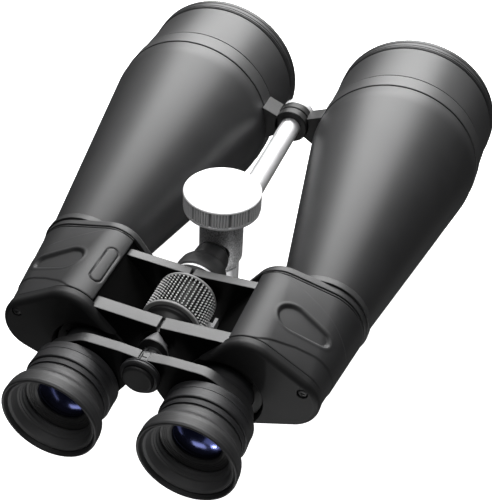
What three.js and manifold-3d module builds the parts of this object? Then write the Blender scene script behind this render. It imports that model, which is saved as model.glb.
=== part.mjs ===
// Giant binoculars on a tripod post. Millimetres, in a frame with +X to the user's right,
// +Y from the eyepieces to the objectives and +Z up. The origin is the centre of the post's foot.
import * as THREE from "three";
import { mergeVertices } from "three/addons/utils/BufferGeometryUtils.js";
import Module from "manifold-3d";

// ---- Driving dimensions -------------------------------------------------------------------

// Axes that run along Y, as [x, z] on the right half. The left half mirrors them in x.
const OBJECTIVE = [64.6, 75];
const MIDWAY = [45.4, 86.7];
const EYEPIECE = [33.7, 67.6];
const HINGE = [0, 82.3];

// Places along Y, from the objective rims back to the eyecups.
const RING_Y = [168.5, 179.5];
const CELL_Y = [150.4, 163];
const CONE_Y = 113.5;
const COLLAR_Y = [121.9, 133.3];
const FLANGE_Y = -25.5;
const HOUSING_FRONT_Y = -32;
const PRISM_PLATE_Y = [-59.4, -57.9];
const ARMOUR_Y = [-82.4, -33.7];
const FRONT_ARM_Y = [-43.5, -38];
const REAR_ARM_Y = [-84, -76];
const COVER_Y = [-89, -82.8];
const OCULAR_ARM_Y = [-102.5, -96.5];
const TUBE_Y = [-107.5, -80.5];
const CELL_REAR_Y = -121.5;

// The gap between pieces that touch, the housing's wall, and how far the wall lies under the
// armour's outer surface.
const CLEAR = 0.3;
const WALL = 1.7;
const SKIN = 1.7;
const BARREL_R = 49;
const BAND_R = 49.5;
const BAND_GROOVE = 1.4;
const BARREL_REAR_R = 23.4;
const LENS_R = 41.8;
const FLANGE_R = 24.4;
const ROD_R = 6.1;
const AXLE_R = 5;
const ARM_EYE_R = 9;
const BRACE_EYE_R = 10.5;
const OCULAR_EYE_R = 7.4;
const SPINDLE_R = 3;
const TUBE_R = 15.2;
const WHEEL_R = 15.2;
const POST_R = 10;
const CLAMP_R = 11.6;
const KNOB_R = 20.2;
const PRISM_WIDTH = 16;
const PRISM_END = 20.2;
const PRISM_HEIGHT = 20.5;
const ARMOUR_EDGE_X = 33.8;
const COVER_SCREW = [72.5, 83];

// Radii of the prism housing's outline about its three axes, over the armour.
const FRONT_RADII = { objective: 23.5, midway: 16.3, eyepiece: 18 };
const REAR_RADII = { objective: 16.3, midway: 16.3, eyepiece: 20 };

// Sides of the round shapes.
const WIDE = 24;
const MEDIUM = 16;
const SMALL = 10;
const OUTLINE_STEPS = 24;

const SIDES = [
  { name: "left", s: -1 },
  { name: "right", s: 1 },
];

// ---- Finishes -----------------------------------------------------------------------------

function finish(color, roughness, metalness) {
  return new THREE.MeshStandardMaterial({ color, roughness, metalness });
}

const BLACK_PAINT = finish(0x2a2a2c, 0.45, 0.3);
const BLACK_RUBBER = finish(0x232324, 0.8, 0);
const BLACK_PLASTIC = finish(0x1b1b1c, 0.5, 0);
const DARK_SATIN = finish(0x555558, 0.4, 0.6);
const BRIGHT = finish(0xe6e6e8, 0.2, 1);
const CAST = finish(0xa8a8aa, 0.5, 0.9);
const BRASS = finish(0xb08d4a, 0.35, 1);
const GLASS = finish(0x5a5f8f, 0.05, 0);

// ---- Solids -------------------------------------------------------------------------------

const wasm = await Module();
wasm.setup();

// A closed three.js geometry as a solid with its faces pointing out.
function solid(geometry) {
  const bare = new THREE.BufferGeometry();
  bare.setAttribute("position", geometry.getAttribute("position"));
  bare.setIndex(geometry.index);
  const merged = mergeVertices(bare, 1e-4);
  const corners = merged.index.array;
  const faces = [];
  for (let i = 0; i < corners.length; i += 3) {
    const [a, b, c] = [corners[i], corners[i + 1], corners[i + 2]];
    if (a !== b && b !== c && c !== a) faces.push(a, b, c);
  }
  const vertProperties = merged.attributes.position.array;
  const make = (list) =>
    new wasm.Manifold(new wasm.Mesh({ numProp: 3, vertProperties, triVerts: Uint32Array.from(list) }));
  const made = make(faces);
  return made.volume() > 0 ? made : make(faces.reverse());
}

// A profile of [radius, y] points turned about the Y axis through [x, z]. A profile that stays
// off the axis closes on itself.
function turned(profile, segments = MEDIUM, [x, z] = [0, 0]) {
  const points = profile.map(([r, y]) => new THREE.Vector2(r, y));
  const onAxis = profile[0][0] === 0 && profile[profile.length - 1][0] === 0;
  if (!onAxis) points.push(points[0].clone());
  return solid(new THREE.LatheGeometry(points, segments).translate(x, 0, z));
}

// The same about the Z axis, from [radius, z] points.
function turnedUpright(profile, segments = MEDIUM) {
  const points = profile.map(([r, z]) => new THREE.Vector2(r, z));
  const onAxis = profile[0][0] === 0 && profile[profile.length - 1][0] === 0;
  if (!onAxis) points.push(points[0].clone());
  return solid(new THREE.LatheGeometry(points, segments).rotateX(Math.PI / 2));
}

// A round bar along Y.
function bar(radius, [y0, y1], segments = MEDIUM, centre = [0, 0]) {
  return turned([[0, y0], [radius, y0], [radius, y1], [0, y1]], segments, centre);
}

// An outline of [x, z] points, as thick as y0 to y1.
function plate(outline, [y0, y1]) {
  const shape = new THREE.Shape(outline.map(([x, z]) => new THREE.Vector2(x, z)));
  const geometry = new THREE.ExtrudeGeometry(shape, { depth: y1 - y0, bevelEnabled: false });
  return solid(geometry.rotateX(Math.PI / 2).translate(0, y1, 0));
}

function block([x0, x1], [y0, y1], [z0, z1]) {
  const box = new THREE.BoxGeometry(Math.abs(x1 - x0), y1 - y0, z1 - z0);
  return solid(box.translate((x0 + x1) / 2, (y0 + y1) / 2, (z0 + z1) / 2));
}

// The tight outline round a few circles, each [[x, z], radius].
function around(circles, steps = OUTLINE_STEPS) {
  const outline = [];
  for (let i = 0; i < steps; i += 1) {
    const angle = (2 * Math.PI * i) / steps;
    const way = [Math.cos(angle), Math.sin(angle)];
    const reach = ([[x, z], r]) => x * way[0] + z * way[1] + r;
    const [[x, z], r] = circles.reduce((best, c) => (reach(c) > reach(best) + 1e-9 ? c : best));
    outline.push([x + r * way[0], z + r * way[1]]);
  }
  return outline;
}

// A solid through outlines that match point for point, each { y, outline }.
function loft(sections) {
  const count = sections[0].outline.length;
  const positions = [];
  const index = [];
  for (const { y, outline } of sections) {
    for (const [x, z] of outline) positions.push(x, y, z);
  }
  for (let k = 0; k < sections.length - 1; k += 1) {
    for (let i = 0; i < count; i += 1) {
      const a = k * count + i;
      const b = k * count + ((i + 1) % count);
      index.push(a, b, b + count, a, b + count, a + count);
    }
  }
  const last = (sections.length - 1) * count;
  for (let i = 1; i < count - 1; i += 1) {
    index.push(0, i + 1, i);
    index.push(last, last + i, last + i + 1);
  }
  const geometry = new THREE.BufferGeometry();
  geometry.setAttribute("position", new THREE.Float32BufferAttribute(positions, 3));
  geometry.setIndex(index);
  return solid(geometry);
}

function geometryOf(made) {
  const mesh = made.getMesh();
  const positions = new Float32Array(mesh.numVert * 3);
  for (let i = 0; i < mesh.numVert; i += 1) {
    positions.set(mesh.vertProperties.subarray(i * mesh.numProp, i * mesh.numProp + 3), i * 3);
  }
  const geometry = new THREE.BufferGeometry();
  geometry.setAttribute("position", new THREE.BufferAttribute(positions, 3));
  geometry.setIndex(new THREE.BufferAttribute(mesh.triVerts, 1));
  geometry.computeVertexNormals();
  return geometry;
}

function node(group, name, made, material) {
  const mesh = new THREE.Mesh(geometryOf(made), material);
  mesh.name = name;
  group.add(mesh);
}

const at = (s, [x, z]) => [s * x, z];

// ---- Objective end ------------------------------------------------------------------------

// The barrel: a cylinder that carries the lens cell, then a cone down to a threaded spigot.
function objectiveBarrel() {
  const front = RING_Y[0] - CLEAR;
  const groove = [COLLAR_Y[0] - CLEAR, COLLAR_Y[1] + CLEAR];
  return turned([
    [BARREL_R, front],
    [BARREL_R, groove[1]],
    [BARREL_R - BAND_GROOVE, groove[1]],
    [BARREL_R - BAND_GROOVE, groove[0]],
    [BARREL_R, groove[0]],
    [BARREL_R, CONE_Y],
    [BARREL_REAR_R, FLANGE_Y + CLEAR],
    [20, FLANGE_Y + CLEAR],
    [20, -33],
    [18, -33],
    [18, -25],
    [21.2, -22],
    [45.5, CONE_Y - 1.5],
    [45.5, 150],
    [46.9, 150],
    [46.9, front],
  ], WIDE);
}

function objectiveRing() {
  const [rear, front] = RING_Y;
  return turned([
    [46.2, rear],
    [49.4, rear],
    [49.8, rear + 1],
    [49.8, front - 1.5],
    [48.6, front],
    [46.8, front],
    [46.2, front - 1],
  ], WIDE);
}

function objectiveCell() {
  const [rear, front] = CELL_Y;
  return turned([
    [40.2, rear],
    [46.5, rear],
    [46.5, front],
    [LENS_R + 0.4, front],
    [LENS_R + 0.4, 152],
    [40.2, 152],
  ], WIDE);
}

function objectiveCrown() {
  return turned([
    [0, 155.6],
    [20, 156.2],
    [LENS_R, 157.8],
    [LENS_R, 159.3],
    [30, 161],
    [16, 162],
    [0, 162.5],
  ], WIDE);
}

function objectiveFlint() {
  return turned([[0, 152.4], [LENS_R, 152.4], [LENS_R, 157.4], [20, 155.8], [0, 155.2]], WIDE);
}

// The band round the barrel, with an arm to its eye on the brace rod. The two eyes sit one
// behind the other on the rod, so that the barrels can fold about it. The left eye stands
// behind its arm, so a lug fills the corner between them.
function braceCollar(s) {
  const [rear, front] = COLLAR_Y;
  const eye = s < 0 ? [118.7, 125] : [125.3, 131.5];
  const otherEye = s < 0 ? [125, front + 1] : [rear - 1, 125.3];
  const bandInner = BARREL_R - BAND_GROOVE + CLEAR;
  const armOutline = [[9, 86.6], [18.5, 91.8], [18.5, 69], [12, 72.5], [7.6, 77]];
  const lugOutline = [[5, 90.5], [13, 88.8], [13, 72], [5, 74.5]];
  const band = turned([
    [bandInner, rear],
    [BAND_R, rear],
    [BAND_R, front],
    [bandInner, front],
  ], WIDE, at(s, OBJECTIVE));
  let made = plate(armOutline.map((point) => at(s, point)), COLLAR_Y)
    .subtract(bar(BRACE_EYE_R + 0.4, otherEye, MEDIUM, HINGE))
    .subtract(bar(bandInner, [rear - 4, front + 1], WIDE, at(s, OBJECTIVE)));
  if (s < 0) made = made.add(plate(lugOutline.map((point) => at(s, point)), [eye[0], rear + 1]));
  return made
    .add(band)
    .add(bar(BRACE_EYE_R, eye, MEDIUM, HINGE))
    .subtract(bar(ROD_R + 0.4, [eye[0] - 1, front + 1], MEDIUM, HINGE));
}

// ---- Prism housing ------------------------------------------------------------------------

// The housing's outline at a share of the way from its front to its rear, drawn in by inset.
function housingOutline(s, share, inset) {
  const radius = (key) => FRONT_RADII[key] + share * (REAR_RADII[key] - FRONT_RADII[key]) - inset;
  return around([
    [at(s, OBJECTIVE), radius("objective")],
    [at(s, MIDWAY), radius("midway")],
    [at(s, EYEPIECE), radius("eyepiece")],
  ]);
}

function housingBlock(s, [rear, front], inset) {
  const share = (y) => (HOUSING_FRONT_Y - y) / (HOUSING_FRONT_Y - ARMOUR_Y[0]);
  return loft([rear, front].map((y) => ({ y, outline: housingOutline(s, share(y), inset) })));
}

// One hinge arm. In its own half of the thickness it ends in an eye round the axle, and in the
// other half it is hollowed out round the opposite arm's eye. The front arm has a gusset under it
// that closes the corner between the arm and the round side of the housing.
function hingeArm(s, [rear, front], gusset) {
  const middle = (rear + front) / 2;
  const own = s < 0 ? [middle + CLEAR / 2, front] : [rear, middle - CLEAR / 2];
  const other = s < 0 ? [rear - 1, middle + CLEAR / 2] : [middle - CLEAR / 2, front + 1];
  const below = gusset ? [[33.4, 62], [24, 62], [9.5, 66]] : [[33.4, 80], [24, 76.5]];
  const outline = [[0.7, 94], [33.4, 95.9], ...below, [7.2, 76.3], [0.7, 86]];
  return plate(outline.map((point) => at(s, point)), [rear, front])
    .subtract(bar(ARM_EYE_R + 0.4, other, MEDIUM, HINGE))
    .add(bar(ARM_EYE_R, own, MEDIUM, HINGE))
    .subtract(bar(AXLE_R + 0.4, [rear - 1, front + 1], MEDIUM, HINGE));
}

function prismHousing(s) {
  const shell = housingBlock(s, [ARMOUR_Y[0], HOUSING_FRONT_Y], SKIN);
  const cavity = housingBlock(s, [REAR_ARM_Y[0] - 1, HOUSING_FRONT_Y - 4], SKIN + WALL);
  const flange = turned([
    [0, HOUSING_FRONT_Y - 1.4],
    [FLANGE_R, HOUSING_FRONT_Y - 1.4],
    [FLANGE_R, FLANGE_Y - 1.5],
    [FLANGE_R - 0.7, FLANGE_Y],
    [0, FLANGE_Y],
  ], WIDE, at(s, OBJECTIVE));
  const screw = at(s, COVER_SCREW);
  return shell
    .add(flange)
    .add(hingeArm(s, FRONT_ARM_Y, true))
    .add(hingeArm(s, REAR_ARM_Y, false))
    .subtract(cavity)
    .subtract(bar(20.3, [HOUSING_FRONT_Y - 5, FLANGE_Y + 1], WIDE, at(s, OBJECTIVE)))
    .add(bar(2.1, [-82.2, -66], SMALL, screw))
    .subtract(bar(1.6, [-84, -68], SMALL, screw));
}

// A rubber skin over the housing's outer side, open towards the hinge.
function armour(s) {
  const trim = block([-ARMOUR_EDGE_X, ARMOUR_EDGE_X], [-90, -30], [20, 130]);
  return housingBlock(s, ARMOUR_Y, 0).subtract(housingBlock(s, [-90, -30], SKIN - CLEAR)).subtract(trim);
}

function rearCover(s) {
  const [rear, front] = COVER_Y;
  const outline = (inset) => housingOutline(s, 1, inset);
  const notch = block([0, s * 34], [REAR_ARM_Y[0] - CLEAR, front + 1], [70, 97]);
  const screw = at(s, COVER_SCREW);
  const cap = loft([
    { y: rear, outline: outline(2) },
    { y: rear + 1.8, outline: outline(0) },
    { y: front, outline: outline(0) },
  ]);
  const hollow = loft([
    { y: rear + 3.8, outline: outline(4) },
    { y: front + 1, outline: outline(4) },
  ]);
  return cap
    .subtract(hollow)
    .subtract(bar(TUBE_R + 0.4, [rear - 1, front + 1], MEDIUM, at(s, EYEPIECE)))
    .subtract(notch)
    .subtract(bar(2.7, [rear - 1, rear + 1.8], SMALL, screw))
    .subtract(bar(1.6, [rear - 1, front + 1], SMALL, screw));
}

function coverScrew() {
  const head = COVER_Y[0] + 0.3;
  const neck = head + 1.2;
  return turned([[0, head], [2.4, head], [2.4, neck], [1.3, neck], [1.3, -72], [0, -72]], SMALL);
}

// A right-angle prism with its long face on y and its ridge towards +Y or -Y. It carries the
// light from one axis across to the next.
function prism(s, from, to, y, towards) {
  const profile = [
    [-PRISM_END, 0],
    [PRISM_END, 0],
    [PRISM_END, 1.8],
    [1.5, PRISM_HEIGHT],
    [-1.5, PRISM_HEIGHT],
    [-PRISM_END, 1.8],
  ];
  const shape = new THREE.Shape(profile.map(([u, w]) => new THREE.Vector2(u, towards * w)));
  const geometry = new THREE.ExtrudeGeometry(shape, { depth: PRISM_WIDTH, bevelEnabled: false });
  const turn = Math.atan2(-(to[1] - from[1]), s * (to[0] - from[0]));
  geometry.translate(0, 0, -PRISM_WIDTH / 2).rotateY(turn);
  return solid(geometry.translate((s * (from[0] + to[0])) / 2, y, (from[1] + to[1]) / 2));
}

// The plate between the two prisms, with a window on each axis.
function prismPlate(s) {
  const [rear, front] = PRISM_PLATE_Y;
  let made = housingBlock(s, PRISM_PLATE_Y, SKIN + WALL + 2 * CLEAR);
  for (const axis of [OBJECTIVE, MIDWAY, EYEPIECE]) {
    made = made.subtract(bar(9, [rear - 1, front + 1], SMALL, at(s, axis)));
  }
  return made;
}

// ---- Eyepiece end -------------------------------------------------------------------------

// The plate that carries an eyepiece from the focusing bridge.
function ocularArm(s) {
  const [rear, front] = OCULAR_ARM_Y;
  const middle = (rear + front) / 2;
  const own = s < 0 ? [middle + CLEAR / 2, front] : [rear, middle - CLEAR / 2];
  const other = s < 0 ? [rear - 1, middle + CLEAR / 2] : [middle - CLEAR / 2, front + 1];
  const outline = around([
    [at(s, EYEPIECE), 19.2],
    [at(s, [24, 80.5]), 11],
    [at(s, [2.4, 90.2]), 0.1],
    [at(s, [6.6, 74]), 0.1],
  ]);
  return plate(outline, [rear, front])
    .subtract(bar(OCULAR_EYE_R + 0.4, other, MEDIUM, HINGE))
    .add(bar(OCULAR_EYE_R, own, MEDIUM, HINGE))
    .subtract(bar(5, [rear - 1, front + 1], MEDIUM, HINGE))
    .subtract(bar(TUBE_R + CLEAR, [rear - 1, front + 1], MEDIUM, at(s, EYEPIECE)));
}

function eyepieceTube() {
  const [rear, front] = TUBE_Y;
  return turned([
    [13.4, rear],
    [21.5, rear],
    [21.5, rear + 4.6],
    [TUBE_R, rear + 4.6],
    [TUBE_R, front],
    [13.4, front],
  ]);
}

function fieldLens() {
  return turned([[0, -87], [8, -86.6], [13, -85.3], [13, -83.9], [8, -82.9], [0, -82.5]]);
}

// The outer ring of the eyepiece. On the right it turns, to set the dioptre.
function eyepieceRing() {
  return turned([
    [19.9, -116.6],
    [21.6, -116.6],
    [22.1, -115.6],
    [22.1, -109],
    [21.6, -108],
    [19.9, -108],
  ]);
}

function ocularCell() {
  return turned([
    [10, -109],
    [19.2, -109],
    [19.2, CELL_REAR_Y],
    [17, CELL_REAR_Y],
    [13.6, CELL_REAR_Y + 0.6],
    [12.2, CELL_REAR_Y + 1.8],
    [12.2, CELL_REAR_Y + 5.6],
    [10, CELL_REAR_Y + 5.6],
  ]);
}

function eyeLens() {
  const rim = CELL_REAR_Y + 2.6;
  return turned([[0, rim + 2.4], [11.9, rim + 2.6], [11.9, rim], [7, rim - 1.2], [0, rim - 1.7]]);
}

function eyecup() {
  return turned([
    [19.6, -118],
    [21, -118],
    [21.4, -121],
    [24, -124],
    [24, -131.5],
    [23.4, -133.1],
    [21.8, -133.1],
    [19.6, -125],
    [17.6, -123.2],
    [17.6, -121.9],
    [19.6, -121.9],
  ]);
}

// ---- Centre -------------------------------------------------------------------------------

function braceRod() {
  return bar(ROD_R, [-27.6, 131.6]);
}

function rodCap() {
  return turned([[0, 131.9], [7.8, 131.9], [7.8, 136.6], [6.8, 137.8], [0, 137.8]]);
}

// The socket that joins the brace rod to the hinge axle.
function rodBoot() {
  return turned([
    [AXLE_R + CLEAR, -35.7],
    [14, -35.7],
    [14.2, -24],
    [13.2, -19],
    [10.4, -15],
    [9.9, -12.8],
    [9.2, -12.1],
    [ROD_R + CLEAR, -12.1],
    [ROD_R + CLEAR, -27.8],
    [AXLE_R + CLEAR, -27.8],
  ]);
}

function bootWasher() {
  return turned([[AXLE_R + CLEAR, -37.6], [13, -37.6], [13, -36], [AXLE_R + CLEAR, -36]]);
}

function hingeAxle() {
  return turned([[SPINDLE_R + 0.4, -90], [AXLE_R, -90], [AXLE_R, -28.1], [SPINDLE_R + 0.4, -28.1]], SMALL);
}

function axleBell() {
  return turned([
    [AXLE_R + CLEAR, -90.6],
    [10.5, -90.6],
    [10.5, -89.8],
    [8.8, -87.4],
    [6.2, -85.4],
    [6, -84.3],
    [AXLE_R + CLEAR, -84.3],
  ]);
}

function focusWheel() {
  return turned([
    [AXLE_R + 0.4, -75.6],
    [9.5, -75.6],
    [12, -71.5],
    [13, -69.5],
    [13, -46.5],
    [10, -44],
    [AXLE_R + 0.4, -44],
  ]);
}

function focusGrip() {
  return turned([
    [13.3, -69.5],
    [14.6, -69.5],
    [WHEEL_R, -68.9],
    [WHEEL_R, -47.1],
    [14.6, -46.5],
    [13.3, -46.5],
  ]);
}

function bridgeHub() {
  return turned([
    [SPINDLE_R + CLEAR, -107],
    [9.3, -107],
    [9.9, -106.2],
    [9.9, -104],
    [8.6, -103.2],
    [8.6, -102.8],
    [4.7, -102.8],
    [4.7, -96.2],
    [6.8, -96.2],
    [6.8, -95.5],
    [SPINDLE_R + CLEAR, -95.5],
  ]);
}

function hubCap() {
  return turned([[0, -108.9], [7, -108.9], [7.8, -108.2], [7.8, -107.3], [0, -107.3]]);
}

function focusSpindle() {
  return bar(SPINDLE_R, [-106.9, -52], SMALL);
}

function indexTab() {
  return block([22.7, 24.9], [-75.7, -65.2], [92.6, 96.4]);
}

// ---- Tripod post --------------------------------------------------------------------------

function tripodPost() {
  const foot = turnedUpright([[0, 0], [9.4, 0], [POST_R, 0.6], [POST_R, 69.7], [0, 69.7]]);
  return foot.subtract(turnedUpright([[0, -1], [5.3, -1], [5.3, 12.3], [0, 12.3]]));
}

function threadInsert() {
  return turnedUpright([[3.2, 0], [5, 0], [5, 12], [3.2, 12]]);
}

function clampBody() {
  const body = turnedUpright([
    [0, 70],
    [POST_R, 70],
    [CLAMP_R, 73],
    [CLAMP_R, 100.2],
    [11, 100.8],
    [0, 100.8],
  ]);
  return body
    .subtract(bar(8, [-15, 15], MEDIUM, HINGE))
    .subtract(turnedUpright([[0, 84], [4.2, 84], [4.2, 102], [0, 102]], SMALL));
}

// The split lining between the clamp and the rod.
function clampBush() {
  return bar(8 - CLEAR, [-9, 9], MEDIUM, HINGE)
    .subtract(bar(ROD_R + CLEAR, [-10, 10], MEDIUM, HINGE))
    .subtract(block([-0.6, 0.6], [-10, 10], [HINGE[1] - 10, HINGE[1] - 4]));
}

function pressurePad() {
  return turnedUpright([[0, 90.4], [3.8, 90.4], [3.8, 92.3], [0, 92.3]], SMALL);
}

function lockScrew() {
  return turnedUpright([[0, 92.6], [2.6, 92.6], [3, 93.2], [3, 109.6], [0, 109.6]], SMALL);
}

function lockKnob() {
  return turnedUpright([
    [0, 110],
    [3.3, 110],
    [3.3, 101.2],
    [9.5, 101.2],
    [9.5, 104.4],
    [13, 105.5],
    [19.4, 105.8],
    [KNOB_R, 106.8],
    [KNOB_R, 115.4],
    [19.4, 116.2],
    [0, 116.2],
  ]);
}

// ---- Assembly -----------------------------------------------------------------------------

const binoculars = new THREE.Group();

function subgroup([x, z] = [0, 0]) {
  const group = new THREE.Group();
  group.position.set(x, 0, z);
  binoculars.add(group);
  return group;
}

for (const { name, s } of SIDES) {
  const objective = subgroup(at(s, OBJECTIVE));
  node(objective, `objective_barrel_${name}`, objectiveBarrel(), BLACK_PAINT);
  node(objective, `objective_ring_${name}`, objectiveRing(), BLACK_PLASTIC);
  node(objective, `objective_cell_${name}`, objectiveCell(), BLACK_PLASTIC);
  node(objective, `objective_crown_${name}`, objectiveCrown(), GLASS);
  node(objective, `objective_flint_${name}`, objectiveFlint(), GLASS);

  const body = subgroup();
  node(body, `brace_collar_${name}`, braceCollar(s), BLACK_PAINT);
  node(body, `prism_housing_${name}`, prismHousing(s), DARK_SATIN);
  node(body, `armour_${name}`, armour(s), BLACK_RUBBER);
  node(body, `rear_cover_${name}`, rearCover(s), BLACK_PLASTIC);
  node(body, `rear_prism_${name}`, prism(s, OBJECTIVE, MIDWAY, PRISM_PLATE_Y[0] - 0.4, -1), GLASS);
  node(body, `front_prism_${name}`, prism(s, MIDWAY, EYEPIECE, PRISM_PLATE_Y[1] + 0.4, 1), GLASS);
  node(body, `prism_plate_${name}`, prismPlate(s), DARK_SATIN);
  node(body, `ocular_arm_${name}`, ocularArm(s), DARK_SATIN);
  node(subgroup(at(s, COVER_SCREW)), `cover_screw_${name}`, coverScrew(), BLACK_PAINT);

  const eyepiece = subgroup(at(s, EYEPIECE));
  node(eyepiece, `eyepiece_tube_${name}`, eyepieceTube(), BLACK_PAINT);
  node(eyepiece, `field_lens_${name}`, fieldLens(), GLASS);
  node(eyepiece, s < 0 ? "eyepiece_ring_left" : "diopter_ring", eyepieceRing(), BLACK_PAINT);
  node(eyepiece, `ocular_cell_${name}`, ocularCell(), BLACK_PLASTIC);
  node(eyepiece, `eye_lens_${name}`, eyeLens(), GLASS);
  node(eyepiece, `eyecup_${name}`, eyecup(), BLACK_RUBBER);
}

const centre = subgroup(HINGE);
node(centre, "brace_rod", braceRod(), BRIGHT);
node(centre, "rod_cap", rodCap(), BRIGHT);
node(centre, "rod_boot", rodBoot(), BLACK_RUBBER);
node(centre, "boot_washer", bootWasher(), BRIGHT);
node(centre, "hinge_axle", hingeAxle(), CAST);
node(centre, "axle_bell", axleBell(), DARK_SATIN);
node(centre, "focus_wheel", focusWheel(), DARK_SATIN);
node(centre, "focus_grip", focusGrip(), BLACK_RUBBER);
node(centre, "bridge_hub", bridgeHub(), DARK_SATIN);
node(centre, "hub_cap", hubCap(), BLACK_PLASTIC);
node(centre, "focus_spindle", focusSpindle(), BRIGHT);

const post = subgroup();
node(post, "index_tab", indexTab(), BRIGHT);
node(post, "tripod_post", tripodPost(), BRIGHT);
node(post, "thread_insert", threadInsert(), BRASS);
node(post, "clamp_body", clampBody(), CAST);
node(post, "clamp_bush", clampBush(), BLACK_PLASTIC);
node(post, "pressure_pad", pressurePad(), BRASS);
node(post, "lock_screw", lockScrew(), BRIGHT);
node(post, "lock_knob", lockKnob(), BRIGHT);

export default binoculars;
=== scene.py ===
import math

import bmesh
import bpy
import numpy as np
from mathutils import Matrix, Vector


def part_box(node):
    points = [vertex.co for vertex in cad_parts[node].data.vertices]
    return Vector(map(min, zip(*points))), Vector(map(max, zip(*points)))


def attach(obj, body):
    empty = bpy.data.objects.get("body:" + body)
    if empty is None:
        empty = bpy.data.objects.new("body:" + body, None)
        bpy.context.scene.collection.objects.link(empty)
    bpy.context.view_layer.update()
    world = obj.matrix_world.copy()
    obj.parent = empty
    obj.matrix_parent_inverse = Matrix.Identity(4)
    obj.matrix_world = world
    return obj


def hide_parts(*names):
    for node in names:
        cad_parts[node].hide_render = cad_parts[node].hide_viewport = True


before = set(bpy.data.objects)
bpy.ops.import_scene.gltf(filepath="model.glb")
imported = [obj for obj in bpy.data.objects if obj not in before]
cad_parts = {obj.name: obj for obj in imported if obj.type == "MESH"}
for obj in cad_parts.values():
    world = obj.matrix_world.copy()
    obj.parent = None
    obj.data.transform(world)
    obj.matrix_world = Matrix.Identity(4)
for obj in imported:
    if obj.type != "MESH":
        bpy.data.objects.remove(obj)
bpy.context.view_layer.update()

MM = 0.001
SIDES = (("left", -1), ("right", 1))


# ---- Places taken from the frame ------------------------------------------------------------

def box_mm(node):
    """The lowest and highest corner of a CAD node, in millimetres."""
    low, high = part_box(node)
    return Vector(low) / MM, Vector(high) / MM


def axis_of(node):
    """The (x, z) of a node's middle, for a piece that is round about Y."""
    low, high = box_mm(node)
    return ((low.x + high.x) / 2, (low.z + high.z) / 2)


def reach_y(node):
    low, high = box_mm(node)
    return low.y, high.y


OBJECTIVE = axis_of("objective_ring_right")
EYEPIECE = axis_of("eye_lens_right")
HINGE = axis_of("brace_rod")
PRISM_MIDDLE = axis_of("rear_prism_right")
MIDWAY = (2 * PRISM_MIDDLE[0] - OBJECTIVE[0], 2 * PRISM_MIDDLE[1] - OBJECTIVE[1])
SCREW = axis_of("cover_screw_right")

RING_Y = reach_y("objective_ring_right")
BARREL_Y = reach_y("objective_barrel_right")
ARMOUR_Y = reach_y("armour_right")
COVER_Y = reach_y("rear_cover_right")
HOUSING_Y = reach_y("prism_housing_right")
TUBE_Y = reach_y("eyepiece_tube_right")
OCULAR_ARM_Y = reach_y("ocular_arm_right")
EYE_RING_Y = reach_y("diopter_ring")
CUP_Y = reach_y("eyecup_right")
CELL_Y = reach_y("ocular_cell_right")
EYE_LENS_Y = reach_y("eye_lens_right")
FIELD_LENS_Y = reach_y("field_lens_right")
GRIP_Y = reach_y("focus_grip")
BOOT_Y = reach_y("rod_boot")
KNOB_Z = (box_mm("lock_knob")[0].z, box_mm("lock_knob")[1].z)
CLAMP_Z = (box_mm("clamp_body")[0].z, box_mm("clamp_body")[1].z)


# ---- Driving dimensions ---------------------------------------------------------------------

BARREL_R = 49.0
BARREL_REAR_R = 23.4
OBJECTIVE_LENS_R = 41.8
BAND_R = 49.5
BAND_Y = (121.9, 133.3)
CONE_Y = 113.5
FLANGE_R = 24.4
HOUSING_FRONT_Y = -28.5
TAPER_Y = HOUSING_FRONT_Y - 3.5
MOST_TAPER = 1.08
FRONT_ARM_Y = (-43.5, -38.0)
REAR_ARM_Y = (-84.0, -76.0)
ROD_R = 6.1
AXLE_R = 5.0
CLEAR = 0.3
KNUCKLE_R = 10.4
KNUCKLE_BORE = ROD_R + 0.25
SKIN = 1.7
WALL = 1.7
ARMOUR_EDGE_X = 33.8
ARMOUR_THICKNESS = 1.35
TUBE_R = 15.2
TUBE_BORE = TUBE_R + 0.35
KNOB_R = 20.2
POST_R = 10.0
CLAMP_R = 11.6
GRIP_R = 15.2

# Radii of the prism housing's outline about its three axes, at its front and at its rear.
FRONT_RADII = (23.5, 16.3, 18.0)
REAR_RADII = (16.3, 16.3, 20.0)


# ---- Outlines -------------------------------------------------------------------------------

NEARLY_STRAIGHT = 0.02


def soften(points, radius=0.3, steps=4):
    """Rounds the corners of an outline of (u, v) points. A third value is that corner's radius,
    and 0 leaves the corner as it is, which marks the two ends of an open profile."""
    out = []
    count = len(points)
    for i, point in enumerate(points):
        here = np.array(point[:2], float)
        wanted = point[2] if len(point) > 2 else radius
        if wanted <= 0:
            out.append(here)
            continue
        back = np.array(points[i - 1][:2], float) - here
        ahead = np.array(points[(i + 1) % count][:2], float) - here
        back_length, ahead_length = np.linalg.norm(back), np.linalg.norm(ahead)
        back, ahead = back / back_length, ahead / ahead_length
        half = math.acos(max(-1.0, min(1.0, float(back @ ahead)))) / 2
        if half > math.pi / 2 - NEARLY_STRAIGHT:
            out.append(here)
            continue
        cut = min(wanted / math.tan(half), 0.48 * back_length, 0.48 * ahead_length)
        size = cut * math.tan(half)
        inward = (back + ahead) / np.linalg.norm(back + ahead)
        centre = here + inward * size / math.sin(half)
        start, end = here + back * cut - centre, here + ahead * cut - centre
        first = math.atan2(start[1], start[0])
        sweep = (math.atan2(end[1], end[0]) - first + math.pi) % (2 * math.pi) - math.pi
        for k in range(steps + 1):
            angle = first + sweep * k / steps
            out.append(centre + size * np.array([math.cos(angle), math.sin(angle)]))
    return np.array(out)


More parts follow.
